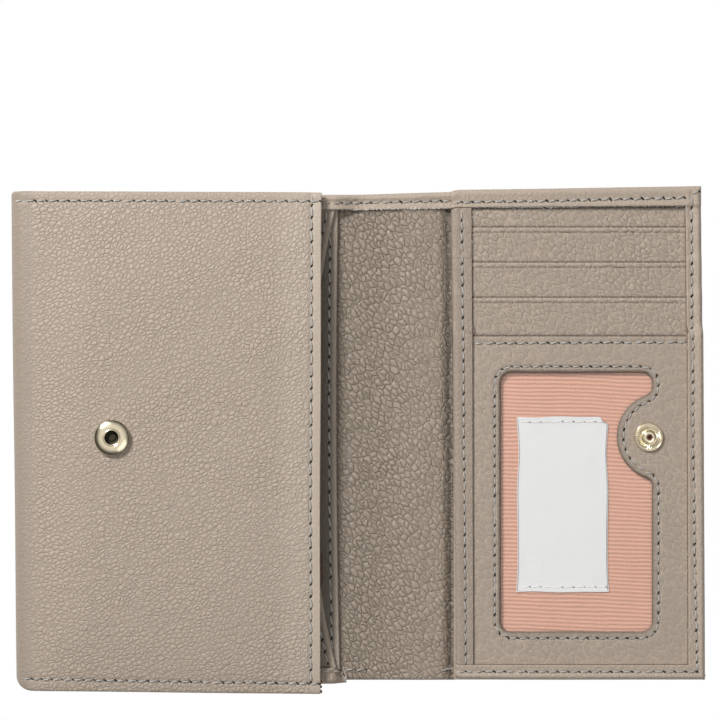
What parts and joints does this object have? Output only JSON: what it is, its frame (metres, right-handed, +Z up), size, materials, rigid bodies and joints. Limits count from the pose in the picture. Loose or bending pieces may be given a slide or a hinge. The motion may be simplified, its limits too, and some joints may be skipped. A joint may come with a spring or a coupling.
{
  "type": "snap-closing leather wallet",
  "caption": "Open leather wallet: a gusseted note compartment with a snap socket, a plain spine, and a card panel with a clear identity-card window and a snap stud.",
  "frame": {"origin": "on the underside of the spine, halfway between its two folds and halfway along it", "axes": "+X from the spine to the card panel, +Y along the spine to the wallet's top edge, +Z up off the table, out of the inside of the open wallet"},
  "size_m": [0.2222, 0.1608, 0.0151],
  "materials": {
    "tan_leather": "grained, semi-matt, softly worn",
    "inner_leather": "coarse grain, semi-matt",
    "rust_lining": "plain woven cloth, matt",
    "pink_lining": "ribbed woven cloth, soft sheen",
    "white_cloth": "woven satin, bare",
    "clear_film": "clear soft film",
    "pale_brass": "polished, light gold plating"
  },
  "bodies": {
    "left_block": {"left_cover": "tan_leather", "compartment_lining": "rust_lining", "divider_upper": "tan_leather", "divider_lower": "tan_leather", "gusset_top": "tan_leather", "gusset_bottom": "tan_leather", "inner_leather_left": "inner_leather", "snap_socket": "pale_brass", "snap_socket_spring": "pale_brass", "snap_socket_cap": "pale_brass"},
    "spine": {"spine_cover": "tan_leather", "inner_leather_spine": "inner_leather"},
    "right_block": {"right_cover": "tan_leather", "inner_leather_right": "inner_leather", "card_backing": "tan_leather", "card_pocket_1": "tan_leather", "card_pocket_2": "tan_leather", "card_pocket_3": "tan_leather", "id_lining": "pink_lining", "woven_label": "white_cloth", "id_window_film": "clear_film", "id_panel": "tan_leather", "panel_edge_strip": "tan_leather", "snap_stud": "pale_brass", "snap_stud_post": "pale_brass"}
  },
  "joints": [
    {"name": "left_fold", "type": "hinge", "parent": "left_block", "child": "spine", "pos_m": [-0.01137, 0, 0.0006], "axis": [0, -1, 0], "range_deg": [0, 90]},
    {"name": "right_fold", "type": "hinge", "parent": "spine", "child": "right_block", "pos_m": [0.01137, 0, 0.0006], "axis": [0, -1, 0], "range_deg": [0, 90]}
  ]
}
